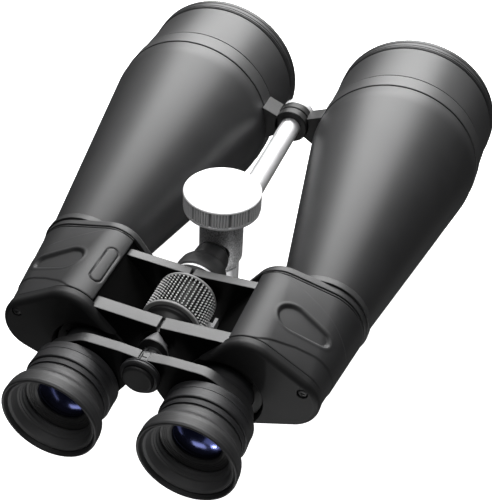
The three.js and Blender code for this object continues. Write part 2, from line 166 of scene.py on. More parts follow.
def evenly(points, count, closed=True):
    """The outline again, with its points evenly spaced along it."""
    line = np.vstack([points, points[:1]]) if closed else np.array(points)
    along = np.concatenate([[0], np.cumsum(np.linalg.norm(np.diff(line, axis=0), axis=1))])
    wanted = np.linspace(0, along[-1], count + 1 if closed else count)
    even = np.column_stack([np.interp(wanted, along, line[:, k]) for k in range(line.shape[1])])
    return even[:-1] if closed else even


def hull(circles, steps=720):
    """The tight outline round circles of (x, z, radius), anticlockwise from +X."""
    angles = np.linspace(0, 2 * math.pi, steps, endpoint=False)
    ways = np.column_stack([np.cos(angles), np.sin(angles)])
    circles = np.array(circles, float)
    reach = ways @ circles[:, :2].T + circles[:, 2]
    best = circles[np.argmax(reach, axis=1)]
    return best[:, :2] + best[:, 2:] * ways


def shrink(outline, inset):
    """The outline moved inwards, for one that runs anticlockwise."""
    tangent = np.roll(outline, -1, axis=0) - np.roll(outline, 1, axis=0)
    tangent /= np.maximum(np.linalg.norm(tangent, axis=1, keepdims=True), 1e-9)
    return outline + inset * np.column_stack([-tangent[:, 1], tangent[:, 0]])


def anticlockwise(outline):
    outline = np.array(outline, float)
    x, z = outline[:, 0], outline[:, 1]
    area = np.sum(x * np.roll(z, -1) - z * np.roll(x, -1))
    return outline if area > 0 else outline[::-1]


# ---- Shells ---------------------------------------------------------------------------------
# A shell is (points, faces), a closed surface in millimetres.

ON_AXIS = 1e-6


def strips(rings, segments):
    """Faces between neighbouring rings of point numbers. A ring of one point is a pole."""
    faces = []
    for a, b in zip(rings, rings[1:]):
        for k in range(segments):
            n = (k + 1) % segments
            corners = [a[k % len(a)], a[n % len(a)], b[n % len(b)], b[k % len(b)]]
            faces.append(tuple(dict.fromkeys(corners)))
    return faces


def turned(profile, centre=(0, 0), segments=128, upright=False):
    """A profile of (radius, height) points turned about Y, or about Z where upright is true."""
    points, rings = [], []
    for r, h in profile:
        if r < ON_AXIS:
            rings.append([len(points)])
            points.append((0, h, 0))
            continue
        rings.append(list(range(len(points), len(points) + segments)))
        for k in range(segments):
            angle = 2 * math.pi * k / segments
            points.append((r * math.cos(angle), h, r * math.sin(angle)))
    if len(rings[0]) > 1 and len(rings[-1]) > 1:
        rings.append(rings[0])
    faces = strips(rings, segments)
    if upright:
        return [(x, z, h) for x, h, z in points], faces
    return [(x + centre[0], h, z + centre[1]) for x, h, z in points], faces


def loft(sections, loop=False):
    """A closed shell through matching sections, each an array of (x, y, z) points. Its ends are
    capped, or joined to each other where loop is true."""
    count = len(sections[0])
    points = [tuple(p) for section in sections for p in section]
    rings = [list(range(k * count, (k + 1) * count)) for k in range(len(sections))]
    if loop:
        return points, strips(rings + rings[:1], count)
    return points, strips(rings, count) + [tuple(reversed(rings[0])), tuple(rings[-1])]


def at_y(outline, y):
    return np.column_stack([outline[:, 0], np.full(len(outline), float(y)), outline[:, 1]])


def quarter(steps):
    """A rounded edge in steps, each as two shares: how far in it still is, and how far along."""
    angles = [math.pi / 2 * k / steps for k in range(steps + 1)]
    return [(1 - math.sin(angle), 1 - math.cos(angle)) for angle in angles]


def plate(outline, span, edge=0.4, steps=3):
    """An outline of (x, z) points as thick as span along Y, with rounded edges."""
    outline = anticlockwise(outline)
    first, last = [], []
    for inset, rise in quarter(steps):
        flat = shrink(outline, edge * inset)
        first.append(at_y(flat, span[0] + edge * rise))
        last.append(at_y(flat, span[1] - edge * rise))
    return loft(first + last[::-1])


def block(low, high):
    (x0, y0, z0), (x1, y1, z1) = low, high
    outline = np.array([(x0, z0), (x1, z0), (x1, z1), (x0, z1)], float)
    return loft([at_y(outline, y0), at_y(outline, y1)])


def bar(radius, span, centre=(0, 0), segments=96):
    return turned([(0, span[0]), (radius, span[0]), (radius, span[1]), (0, span[1])], centre, segments)


def mirrored(shell, s):
    """The shell for the left half, where s is -1."""
    points, faces = shell
    if s > 0:
        return points, faces
    return [(-x, y, z) for x, y, z in points], [tuple(reversed(f)) for f in faces]


# ---- Blender objects ------------------------------------------------------------------------

def to_mesh(name, shells):
    mesh = bpy.data.meshes.new(name)
    points, faces = [], []
    for shell_points, shell_faces in shells:
        first = len(points)
        points += [(x * MM, y * MM, z * MM) for x, y, z in shell_points]
        faces += [tuple(first + i for i in f) for f in shell_faces]
    mesh.from_pydata(points, [], faces)
    work = bmesh.new()
    work.from_mesh(mesh)
    bmesh.ops.recalc_face_normals(work, faces=work.faces)
    work.to_mesh(mesh)
    work.free()
    return mesh


def combine(shells, cutters=()):
    """One shell: the shells joined into one body, less the cutters."""
    scene = bpy.context.scene
    made = bpy.data.objects.new("joining", to_mesh("joining", shells[:1]))
    scene.collection.objects.link(made)
    others = [("UNION", shell) for shell in shells[1:]] + [("DIFFERENCE", c) for c in cutters]
    helpers = []
    for operation, shell in others:
        helper = bpy.data.objects.new("cutting", to_mesh("cutting", [shell]))
        scene.collection.objects.link(helper)
        helpers.append(helper)
        step = made.modifiers.new("join", "BOOLEAN")
        step.operation = operation
        step.solver = "EXACT"
        step.object = helper
    graph = bpy.context.evaluated_depsgraph_get()
    mesh = bpy.data.meshes.new_from_object(made.evaluated_get(graph))
    work = bmesh.new()
    work.from_mesh(mesh)
    bmesh.ops.remove_doubles(work, verts=work.verts, dist=1e-6)
    bmesh.ops.dissolve_degenerate(work, edges=work.edges, dist=1e-7)
    work.to_mesh(mesh)
    work.free()
    points = [tuple(c / MM for c in v.co) for v in mesh.vertices]
    faces = [tuple(p.vertices) for p in mesh.polygons]
    for old in [made] + helpers:
        data = old.data
        bpy.data.objects.remove(old)
        bpy.data.meshes.remove(data)
    bpy.data.meshes.remove(mesh)
    return points, faces


def piece(name, body, material, shells, nodes=(), sharp=34):
    """A finished piece that rides on a body and may stand for CAD nodes."""
    mesh = to_mesh(name, shells)
    mesh.materials.append(material)
    for polygon in mesh.polygons:
        polygon.use_smooth = True
    mesh.set_sharp_from_angle(angle=math.radians(sharp))
    made = bpy.data.objects.new(name, mesh)
    bpy.context.scene.collection.objects.link(made)
    even = made.modifiers.new("even_normals", "WEIGHTED_NORMAL")
    even.keep_sharp = True
    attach(made, body)
    if nodes:
        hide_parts(*nodes)
    return made


def side_piece(stem, side, body, material, shells, node=None, sharp=34):
    """A piece of one side, from shells drawn in the right side's place. Its CAD node, where it
    stands for one, is named without the side."""
    shells = [mirrored(shell, dict(SIDES)[side]) for shell in shells]
    return piece(f"{stem}_{side}", body, material, shells, [f"{node}_{side}"] if node else (), sharp)


def set_attribute(target, name, values):
    """Stores one number per vertex under a name that a material can read."""
    target.data.attributes.new(name, "FLOAT", "POINT").data.foreach_set("value", values)


# ---- Materials ------------------------------------------------------------------------------

def new_material(name, roughness, metallic=0.0, specular=0.5):
    material = bpy.data.materials.new(name)
    material.use_nodes = True
    shader = material.node_tree.nodes["Principled BSDF"]
    shader.inputs["Roughness"].default_value = roughness
    shader.inputs["Metallic"].default_value = metallic
    shader.inputs["Specular IOR Level"].default_value = specular
    return material, material.node_tree, shader


def noise_of(tree, scale, detail=3.0, stretch=(1, 1, 1), roughness=0.5):
    """A noise texture's output over the object's own place, in metres."""
    place = tree.nodes.new("ShaderNodeTexCoord")
    mapping = tree.nodes.new("ShaderNodeMapping")
    mapping.inputs["Scale"].default_value = stretch
    noise = tree.nodes.new("ShaderNodeTexNoise")
    noise.inputs["Scale"].default_value = scale
    noise.inputs["Detail"].default_value = detail
    noise.inputs["Roughness"].default_value = roughness
    tree.links.new(place.outputs["Object"], mapping.inputs["Vector"])
    tree.links.new(mapping.outputs["Vector"], noise.inputs["Vector"])
    return noise.outputs["Fac"]


def paint(tree, shader, factor, dark, light, low=0.35, high=0.65):
    """Drives the base colour: dark where the factor is low, light where it is high."""
    ramp = tree.nodes.new("ShaderNodeValToRGB")
    ramp.color_ramp.elements[0].position = low
    ramp.color_ramp.elements[0].color = (*dark, 1)
    ramp.color_ramp.elements[1].position = high
    ramp.color_ramp.elements[1].color = (*light, 1)
    tree.links.new(factor, ramp.inputs["Fac"])
    tree.links.new(ramp.outputs["Color"], shader.inputs["Base Color"])


def shades(color, spread):
    """A darker and a lighter shade of a colour."""
    return tuple(c * (1 - spread) for c in color), tuple(c * (1 + spread) for c in color)


def remap(tree, factor, low, high):
    node = tree.nodes.new("ShaderNodeMapRange")
    node.inputs["To Min"].default_value = low
    node.inputs["To Max"].default_value = high
    tree.links.new(factor, node.inputs["Value"])
    return node.outputs["Result"]


def gloss(tree, shader, factor, low, high):
    """Drives the roughness between two values."""
    tree.links.new(remap(tree, factor, low, high), shader.inputs["Roughness"])


def attribute_of(tree, name):
    node = tree.nodes.new("ShaderNodeAttribute")
    node.attribute_name = name
    return node.outputs["Fac"]


def bump_from(tree, shader, heights):
    """Stacked bumps, each (height output, depth in metres)."""
    normal = None
    for height, depth in heights:
        bump = tree.nodes.new("ShaderNodeBump")
        bump.inputs["Strength"].default_value = 1.0
        bump.inputs["Distance"].default_value = depth
        tree.links.new(height, bump.inputs["Height"])
        if normal is not None:
            tree.links.new(normal, bump.inputs["Normal"])
        normal = bump.outputs["Normal"]
    tree.links.new(normal, shader.inputs["Normal"])


def grainy(name, color, roughness, grain=1500, depth=0.00001, spread=0.1, vary=0.05,
           specular=0.5, waves=0.0):
    """Paint, rubber or moulded plastic: fine grain, patchy colour and patchy gloss."""
    material, tree, shader = new_material(name, roughness, specular=specular)
    patches = noise_of(tree, 60, 4)
    paint(tree, shader, patches, *shades(color, spread))
    gloss(tree, shader, patches, roughness - vary, roughness + vary)
    heights = [(noise_of(tree, grain, 2), depth)]
    if waves:
        heights.append((noise_of(tree, 25, 1), waves))
    bump_from(tree, shader, heights)
    return material


def brushed(name, color, roughness, metallic, streak, depth=0.000006, spread=0.3):
    """A surface turned on a lathe about Y: fine lines that run round it."""
    material, tree, shader = new_material(name, roughness, metallic)
    lines = noise_of(tree, 1, 5, (28, streak, 28), 0.65)
    paint(tree, shader, lines, *shades(color, spread), 0.3, 0.7)
    gloss(tree, shader, lines, roughness - 0.1, roughness + 0.1)
    bump_from(tree, shader, [(lines, depth)])
    return material


def polished(name, color, roughness, metallic):
    material, tree, shader = new_material(name, roughness, metallic)
    smears = noise_of(tree, 90, 5)
    paint(tree, shader, smears, tuple(c * 0.93 for c in color), color)
    gloss(tree, shader, smears, roughness * 0.6, roughness * 1.5)
    bump_from(tree, shader, [(noise_of(tree, 700, 2), 0.0000015)])
    return material


def dark_glass(name, coating, roughness):
    """A coated lens with a dark interior behind it: black, with a tinted reflection."""
    material, tree, shader = new_material(name, roughness, 0.0, 1.0)
    shader.inputs["IOR"].default_value = 1.6
    shader.inputs["Specular Tint"].default_value = (*coating, 1)
    paint(tree, shader, noise_of(tree, 60, 1), (0.0015, 0.0015, 0.003), (0.004, 0.004, 0.009))
    return material


def paint_shade_on_end_faces(material, share):
    """Darkens the faces that look along the hinge axis: painted shade, a darker colour and a lower specular
    level where the normal runs along Y.
    """
    tree = material.node_tree
    shader = next(n for n in tree.nodes if n.type == "BSDF_PRINCIPLED")
    source = shader.inputs["Base Color"].links[0].from_socket
    geometry = tree.nodes.new("ShaderNodeNewGeometry")
    split = tree.nodes.new("ShaderNodeSeparateXYZ")
    tree.links.new(geometry.outputs["Normal"], split.inputs[0])
    along = tree.nodes.new("ShaderNodeMath")
    along.operation = "ABSOLUTE"
    tree.links.new(split.outputs["Y"], along.inputs[0])
    dark = tree.nodes.new("ShaderNodeMix")
    dark.data_type = "RGBA"
    dark.blend_type = "MULTIPLY"
    tree.links.new(remap(tree, along.outputs[0], 0.0, 1.0), dark.inputs[0])
    tree.links.new(source, dark.inputs[6])
    dark.inputs[7].default_value = (share, share, share, 1)
    tree.links.new(dark.outputs[2], shader.inputs["Base Color"])
    specular = shader.inputs["Specular IOR Level"]
    level = specular.default_value
    tree.links.new(remap(tree, along.outputs[0], level, level * share), specular)


def cast_metal():
    """Sand-cast alloy with dark pits and bright specks."""
    material, tree, shader = new_material("cast_alloy", 0.42, 0.3)
    specks = noise_of(tree, 1100, 6, roughness=0.8)
    paint(tree, shader, specks, (0.30, 0.30, 0.305), (0.95, 0.95, 0.96), 0.36, 0.58)
    gloss(tree, shader, specks, 0.32, 0.52)
    bump_from(tree, shader, [(specks, 0.00007)])
    return material


def ribbed_metal():
    """Bright turned metal with painted shade in the grooves of the ribs and in the notches, by the "ribs"
    attribute.
    """
    material, tree, shader = new_material("knob_metal", 0.38)
    ribs = attribute_of(tree, "ribs")
    # Painted shade: darker colour in the rib grooves and the notches.
    paint(tree, shader, ribs, (0.34, 0.34, 0.343), (0.98, 0.98, 0.99), 0.1, 0.7)
    gloss(tree, shader, noise_of(tree, 90, 5), 0.30, 0.46)
    bump_from(tree, shader, [(noise_of(tree, 900, 2), 0.000003)])
    return material


def knurled():
    """Rubber whose raised points are painted light by the "tips" attribute of the mesh: a little wear, and
    mostly a painted highlight on the points, with near-black valleys as painted shade.
    """
    material, tree, shader = new_material("grip_knurl", 0.5, specular=0.3)
    tips = attribute_of(tree, "tips")
    # Painted highlight on the points, painted shade in the valleys.
    paint(tree, shader, tips, (0.002, 0.002, 0.002), (0.95, 0.95, 0.95), 0.45, 1.0)
    gloss(tree, shader, noise_of(tree, 300, 3), 0.45, 0.6)
    bump_from(tree, shader, [(noise_of(tree, 2500, 2), 0.00001)])
    return material


def coated_glass(name, body, coating):
    """Clear glass whose coating tints what it reflects."""
    material, tree, shader = new_material(name, 0.01, 0.0, 1.0)
    shader.inputs["Transmission Weight"].default_value = 1.0
    shader.inputs["IOR"].default_value = 1.52
    shader.inputs["Specular Tint"].default_value = (*coating, 1)
    paint(tree, shader, noise_of(tree, 45, 1), tuple(c * 0.96 for c in body), body)
    return material


BARREL_PAINT = grainy("barrel_paint", (0.024, 0.024, 0.025), 0.47, 2400, 0.000004, 0.08, 0.03, specular=0.6)
HOUSING_PAINT = grainy("housing_paint", (0.028, 0.028, 0.029), 0.48, 1900, spread=0.12, vary=0.04)
# Near-black paint for the housing body between the arms: painted shadow, much darker than the housing's own
# paint.
SHADOW_PAINT = grainy("painted_shadow_inner", (0.004, 0.004, 0.004), 0.7, specular=0.03)
ARM_PAINT = grainy("arm_satin", (0.020, 0.020, 0.021), 0.5, depth=0.00003, spread=0.15, specular=0.9)
# The arms' faces that look along Y get painted shade: a darker colour and less specular.
paint_shade_on_end_faces(ARM_PAINT, 0.12)
ARMOUR_RUBBER = grainy("armour_rubber", (0.021, 0.021, 0.022), 0.52, 1700, 0.000018)
COVER_PLASTIC = grainy("cover_plastic", (0.014, 0.014, 0.0145), 0.48, 1800, 0.00002, 0.12, specular=0.3)
CELL_BLACK = grainy("cell_black", (0.010, 0.010, 0.010), 0.5, specular=0.4)
CUP_RUBBER = brushed("cup_rubber", (0.024, 0.024, 0.025), 0.5, 0.0, 1500, 0.00002, 0.5)
# The cup's lining is painted a lighter grey than the cup's rubber: painted light, standing in for the light
# that falls inside the cup.
CUP_LINING = grainy("cup_lining", (0.085, 0.085, 0.087), 0.6, spread=0.12)
KNUCKLE_BLACK = grainy("knuckle_black", (0.010, 0.010, 0.010), 0.45, specular=0.3)
COLLAR_PAINT = grainy("collar_paint", (0.030, 0.030, 0.031), 0.48, depth=0.00003, vary=0.04, specular=0.7)
BOOT_RUBBER = grainy("boot_rubber", (0.040, 0.040, 0.041), 0.5, 900, spread=0.15, vary=0.06, waves=0.0006)
EYEPIECE_BLACK = brushed("eyepiece_black", (0.030, 0.030, 0.032), 0.48, 0.2, 1500, 0.00002, 0.5)
RIM_BLACK = brushed("rim_black", (0.024, 0.024, 0.025), 0.44, 0.1, 900, 0.000003, 0.12)
BELL_METAL = brushed("bell_metal", (0.20, 0.20, 0.205), 0.6, 0.0, 900, spread=0.1)
TAB_METAL = grainy("tab_metal", (0.17, 0.17, 0.175), 0.55, 1200, specular=0.3)
CHROME = polished("bright_metal", (0.95, 0.95, 0.96), 0.34, 0.55)
KNOB_METAL = ribbed_metal()
SATIN_STEEL = brushed("satin_steel", (0.30, 0.30, 0.31), 0.45, 0.7, 500)
BRASS = brushed("brass", (0.66, 0.47, 0.20), 0.34, 1.0, 700)
CAST = cast_metal()
KNURL = knurled()
EYE_DARK = dark_glass("eye_glass", (0.20, 0.27, 1.0), 0.13)
CELL_STEPS = grainy("cell_steps", (0.045, 0.045, 0.046), 0.45)
FIELD_GLASS = coated_glass("field_glass", (0.80, 0.84, 0.95), (0.42, 0.50, 1.0))
FRONT_GLASS = coated_glass("front_glass", (0.82, 0.92, 0.88), (0.45, 1.0, 0.75))
PRISM_GLASS = coated_glass("prism_glass", (0.90, 0.93, 0.92), (0.9, 0.95, 1.0))


# ---- Objective end --------------------------------------------------------------------------

def barrel_shell():
    """Cylinder, long soft shoulder and cone, hollow, with a seat under the brace band."""
    seat = BARREL_R - 0.9
    front = RING_Y[0] - CLEAR
    profile = [
        (BARREL_R, front, 0.3), (BARREL_R, BAND_Y[1] + 1.1, 0.2), (seat, BAND_Y[1] + 1.1, 0.1),
        (seat, BAND_Y[0] - 0.5, 0.1), (BARREL_R, BAND_Y[0] - 0.5, 0.15),
        (BARREL_R, CONE_Y, 70), (BARREL_REAR_R, BARREL_Y[0] + 7.8, 0.3),
        (21.0, BARREL_Y[0] + 7.8, 0.2), (21.2, -22, 4), (45.5, CONE_Y - 1.5, 30), (45.5, 150, 0.3),
        (46.9, 150, 0.3), (46.9, front, 0.3),
    ]
    return turned(soften(profile, 0.3, 8), OBJECTIVE, 192)


def ring_shell():
    """The rim: three fine grooves outside and a threaded throat inside."""
    rear, front = RING_Y
    profile = [(49.0, rear, 0.2), (49.5, rear + 0.5, 0.3)]
    for groove, radius in ((rear + 1.2, 49.6), (rear + 2.9, 49.7), (rear + 6.2, 49.8)):
        profile += [
            (radius, groove - 0.3, 0.08), (radius - 0.9, groove - 0.26, 0.08),
            (radius - 0.9, groove + 0.26, 0.08), (radius, groove + 0.3, 0.08),
        ]
    profile += [(49.8, front - 1.6, 0.8), (48.8, front - 0.2, 0.5), (48.2, front, 0.3), (46.9, front, 0.4)]
    for k in range(6):
        height = front - 1.4 - 1.3 * k
        profile += [(46.3, height, 0.1), (46.8, height - 0.65, 0.1)]
    profile += [(46.2, rear, 0.2)]
    return turned(soften(profile, 0.2, 3), OBJECTIVE, 192)


def objective_cell_shell():
    rear, front = reach_y("objective_cell_right")
    return turned(soften([
        (40.2, rear), (46.5, rear), (46.5, front), (44.6, front, 0.6), (43.9, front - 1.2),
        (42.4, front - 1.8, 0.4), (42.2, rear + 1.6), (40.2, rear + 1.6),
    ], 0.25, 3), OBJECTIVE, 160)


LENS_STEPS = 16


def lens_shell(radius, front_edge, rear_edge, front_rise, rear_rise, centre, segments=128):
    """A lens about Y. Each face bulges outwards by its rise, or inwards where it is negative."""
    shares = [k / LENS_STEPS for k in range(LENS_STEPS + 1)]
    profile = [(radius * share, rear_edge - rear_rise * (1 - share * share)) for share in shares]
    for share in reversed(shares):
        profile.append((radius * share, front_edge + front_rise * (1 - share * share)))
    return turned(profile, centre, segments)


def collar_shells(s):
    """The band round the barrel, then its arm and the eye on the brace rod."""
    rear, front = BAND_Y
    inner = BARREL_R - 0.6
    band = turned(soften([
        (inner, rear), (BAND_R - 0.1, rear, 0.4), (BAND_R, rear + 0.6), (BAND_R, front - 0.6),
        (BAND_R - 0.1, front, 0.4), (inner, front),
    ], 0.2, 3), OBJECTIVE, 192)
    eye = (118.7, 124.85) if s < 0 else (125.15, 131.5)
    other = (124.85, front + 1) if s < 0 else (rear - 1, 125.15)
    span = (min(eye[0], rear), front)
    outline = soften([(8, 87.6), (18.6, 91.9), (18.6, 69), (12, 72.3), (6.6, 76)], 0.8, 4)
    arm = combine([plate(outline, span, 0.5)], [
        bar(BARREL_R + 0.1, (rear - 5, front + 5), OBJECTIVE, 192),
        bar(KNUCKLE_BORE, (eye[0] - 2, front + 3), HINGE), bar(KNUCKLE_R + 0.4, other, HINGE),
    ])
    knuckle = turned(soften([
        (KNUCKLE_BORE, eye[0]), (9.8, eye[0], 0.3), (KNUCKLE_R, eye[0] + 0.6), (KNUCKLE_R, eye[1] - 0.6),
        (9.8, eye[1], 0.3), (KNUCKLE_BORE, eye[1]),
    ]), HINGE, 96)
    return band, [arm, knuckle]


for side, s in SIDES:
    half = f"{side}_half"
    side_piece("barrel", side, half, BARREL_PAINT, [barrel_shell()], "objective_barrel", 28)
    side_piece("rim", side, half, RIM_BLACK, [ring_shell()], "objective_ring")
    side_piece("cell", side, half, CELL_BLACK, [objective_cell_shell()], "objective_cell")
    crown = lens_shell(OBJECTIVE_LENS_R, 159.4, 157.8, 3.1, 2.2, OBJECTIVE, 160)
    side_piece("crown", side, half, FRONT_GLASS, [crown], "objective_crown")
    flint = lens_shell(OBJECTIVE_LENS_R, 157.4, 152.4, -2.2, 0.0, OBJECTIVE, 160)
    side_piece("flint", side, half, FRONT_GLASS, [flint], "objective_flint")
    band, arm = collar_shells(s)
    side_piece("collar", side, half, COLLAR_PAINT, [band], "brace_collar", 28)
    side_piece("brace_arm", side, half, KNUCKLE_BLACK, arm)


# ---- Prism housing --------------------------------------------------------------------------

def housing_outline(y, inset=0.0):
    """The housing's outline at a place along Y."""
    share = (TAPER_Y - y) / (TAPER_Y - ARMOUR_Y[0])
    share = max(0.0, min(MOST_TAPER, share))
    circles = []
    for (x, z), front, rear in zip((OBJECTIVE, MIDWAY, EYEPIECE), FRONT_RADII, REAR_RADII):
        circles.append((x, z, front + share * (rear - front) - inset))
    return hull(circles)


def housing_section(y, inset=0.0, count=240):
    return at_y(evenly(housing_outline(y, inset), count), y)


def eye_and_arm(outline, span, s, eye_radius, pin_radius, edge):
    """A hinge arm. In its own half of the thickness it ends in an eye round the pin, and in the
    other half it is hollowed out round the opposite arm's eye."""
    middle = (span[0] + span[1]) / 2
    gap = CLEAR / 2
    own = (middle + gap, span[1] + 0.03) if s < 0 else (span[0] - 0.03, middle - gap)
    other = (span[0] - 1, middle + gap + 0.02) if s < 0 else (middle - gap - 0.02, span[1] + 1)
    arm = combine([plate(outline, span, edge)], [
        bar(eye_radius + 0.4, other, HINGE), bar(pin_radius, (span[0] - 2, span[1] + 2), HINGE),
    ])
    eye = turned(soften([
        (pin_radius, own[0]), (eye_radius, own[0]), (eye_radius, own[1]), (pin_radius, own[1]),
    ], 0.35, 3), HINGE, 96)
    return [arm, eye]


def hinge_arm(span, s):
    """The arm from the housing to the hinge. The front one has a gusset in its lower corner."""
    below = [(34.5, 79), (24, 76.5, 4)]
    if span == FRONT_ARM_Y:
        below = [(34.5, 62), (24, 62, 3), (9.5, 66, 1.5)]
    outline = soften([(0.7, 94), (34.5, 96.0), *below, (7.2, 76.3, 1.5), (0.7, 86, 1)], 0.45, 4)
    return eye_and_arm(outline, span, s, 9.0, AXLE_R + CLEAR, 0.45)


def housing_shells():
    """The front cap with its flange, and the body that is let in under the armour."""
    corner = 2.2
    lip = ARMOUR_Y[1] + CLEAR
    places = [(HOUSING_FRONT_Y - corner * rise, corner * inset) for inset, rise in quarter(6)]
    places += [(lip + 0.25, 0.0), (lip, 0.25), (lip, SKIN + WALL)]
    sections = [housing_section(y, inset) for y, inset in places]
    bore = bar(20.4, (HOUSING_FRONT_Y - 9, HOUSING_Y[1] + 1), OBJECTIVE, 128)
    cap = combine([loft(sections)], [bore])
    flange = turned(soften([
        (20.6, HOUSING_FRONT_Y - 1), (FLANGE_R, HOUSING_FRONT_Y - 1), (FLANGE_R, HOUSING_Y[1], 0.5),
        (20.6, HOUSING_Y[1]),
    ]), OBJECTIVE, 160)
    places = np.linspace(lip - 0.02, ARMOUR_Y[0], 14)
    outer = [housing_section(y, SKIN + 0.3) for y in places]
    inner = [housing_section(y, SKIN + WALL) for y in places[::-1]]
    return [cap, flange], [loft(outer + inner, loop=True)]


def smooth_step(value, low, high):
    share = np.clip((value - low) / (high - low), 0, 1)
    return share * share * (3 - 2 * share)


def past_line(x, y, line):
    """How far a place lies behind a line of (x, y) points across the armour."""
    xs, ys = zip(*line)
    return np.interp(x, xs, ys) - y


def capsule(x, y, first, second):
    """Distance to the tight outline round two circles of (x, y, radius); negative inside."""
    (ax, ay, ar), (bx, by, br) = first, second
    length = math.hypot(bx - ax, by - ay)
    ux, uy = (bx - ax) / length, (by - ay) / length
    along = (x - ax) * ux + (y - ay) * uy
    across = np.abs(-(x - ax) * uy + (y - ay) * ux)
    slope = (ar - br) / length
    rise = math.sqrt(1 - slope * slope)
    share = np.clip((along - across * slope / rise) / length, 0, 1)
    return np.hypot(along - share * length, across) - (ar + share * (br - ar))


THUMB_WIDE = (58.0, -59.4, 7.4)
THUMB_NARROW = (72.9, -60.8, 3.9)
REAR_STEP = [(33, -85), (47.7, -81.7), (55.5, -77.3), (63.8, -73.6), (71.4, -71.8), (85, -71)]
FRONT_STEP = [
    (33, -33), (44, -35.4), (52, -37.8), (59.5, -41.1), (67.1, -44.6), (74.2, -48.6), (85, -56),
]
BADGE_Y = (-69.2, -50.8)
BADGE_ANGLE = 2.02
BADGE_HALF = 3.1
FRONT_GROOVE = 1.35
GROOVE_DEPTH = 0.75
ARMOUR_ROUND = 0.7


def armour_depth(x, y, upper, around, s):
    """How deep the armour's surface is let in at each place."""
    thumb = capsule(x, y, THUMB_WIDE, THUMB_NARROW)
    depth = 1.25 * (1 - smooth_step(thumb, -1.3, 0.35)) * upper
    depth -= 0.18 * np.exp(-((thumb - 0.9) / 0.7) ** 2) * upper
    depth += 0.40 * smooth_step(past_line(x, y, REAR_STEP), -0.35, 0.35)
    depth += 0.30 * (1 - smooth_step(past_line(x, y, FRONT_STEP), -0.3, 0.3)) * upper
    if s < 0:
        reach = np.clip(y, BADGE_Y[0], BADGE_Y[1])
        badge = np.hypot(y - reach, around) - BADGE_HALF
        depth += 0.55 * np.exp(-((badge - 0.25) / 0.32) ** 2) * upper
        depth -= 0.15 * (1 - smooth_step(badge, -0.6, -0.2)) * upper
    return depth


def armour_rows():
    """Places along Y, close together at the front groove and at both rounded ends."""
    rear, front = ARMOUR_Y
    ends = [0, 0.06, 0.2, 0.42, 0.7]
    groove = [FRONT_GROOVE + d for d in (-0.42, -0.3, -0.2, -0.08, 0.08, 0.2, 0.3, 0.42)]
    rows = [front - d for d in ends] + [front - d for d in groove]
    start = front - groove[-1] - 0.35
    finish = rear + ends[-1] + 0.4
    rows += list(np.linspace(start, finish, 118))
    rows += [rear + d for d in reversed(ends)]
    return rows


def armour_shell(s, columns=280):
    """The rubber skin: a fine grid over the housing, open towards the hinge."""
    rear, front = ARMOUR_Y
    outer, inner = [], []
    for y in armour_rows():
        outline = housing_outline(y)
        start = int(np.argmin(outline[:, 1]))
        outline = np.roll(outline, -start, axis=0)
        line = outline[outline[:, 0] > ARMOUR_EDGE_X]
        line = evenly(line, columns, closed=False)
        tangent = np.gradient(line, axis=0)
        tangent /= np.linalg.norm(tangent, axis=1, keepdims=True)
        inward = np.column_stack([-tangent[:, 1], tangent[:, 0]])
        along = np.concatenate([[0], np.cumsum(np.linalg.norm(np.diff(line, axis=0), axis=1))])
        angles = np.unwrap(np.arctan2(*(line - np.array(MIDWAY)).T[::-1]))
        badge_at = np.interp(BADGE_ANGLE, angles, along)
        upper = smooth_step(line[:, 1], OBJECTIVE[1] - 4, OBJECTIVE[1] + 4)
        depth = armour_depth(line[:, 0], y, upper, along - badge_at, s)
        for edge in (min(front - y, y - rear), np.minimum(along, along[-1] - along)):
            short = ARMOUR_ROUND - np.minimum(edge, ARMOUR_ROUND)
            depth = depth + ARMOUR_ROUND - np.sqrt(np.maximum(0.0, ARMOUR_ROUND ** 2 - short ** 2))
        groove = abs(front - y - FRONT_GROOVE)
        depth = depth + GROOVE_DEPTH * float(1 - smooth_step(groove, 0.12, 0.36))
        depth = np.minimum(depth, ARMOUR_THICKNESS - 0.1)
        outer.append(np.insert(line + inward * depth[:, None], 1, y, axis=1))
        inner.append(np.insert(line + inward * ARMOUR_THICKNESS, 1, y, axis=1))
    points = [tuple(p) for row in outer for p in row] + [tuple(p) for row in inner for p in row]
    back = len(outer) * columns
    faces = []
    for row in range(0, back - columns, columns):
        for a in range(row, row + columns - 1):
            faces.append((a, a + 1, a + columns + 1, a + columns))
            faces.append((back + a, back + a + columns, back + a + columns + 1, back + a + 1))
    for a in range(columns - 1):
        b = a + back - columns
        faces.append((a, back + a, back + a + 1, a + 1))
        faces.append((b, b + 1, back + b + 1, back + b))
    for a in range(0, back - columns, columns):
        b = a + columns - 1
        faces.append((a, a + columns, back + a + columns, back + a))
        faces.append((b, back + b, back + b + columns, b + columns))
    return points, faces


COVER_CORNER = 3.4
WELL_R = 20.4
WELL_FLARE = 0.7


def end_section(y, inset=0.0, count=240):
    """The outline of the housing's rear end, set at another place along Y."""
    return at_y(evenly(housing_outline(ARMOUR_Y[0], inset), count), y)


def hinge_notch(front):
    """The space that the rear hinge arm takes out of the cover and the well."""
    return block((-1, REAR_ARM_Y[0] - CLEAR, 70), (34, front, 97))


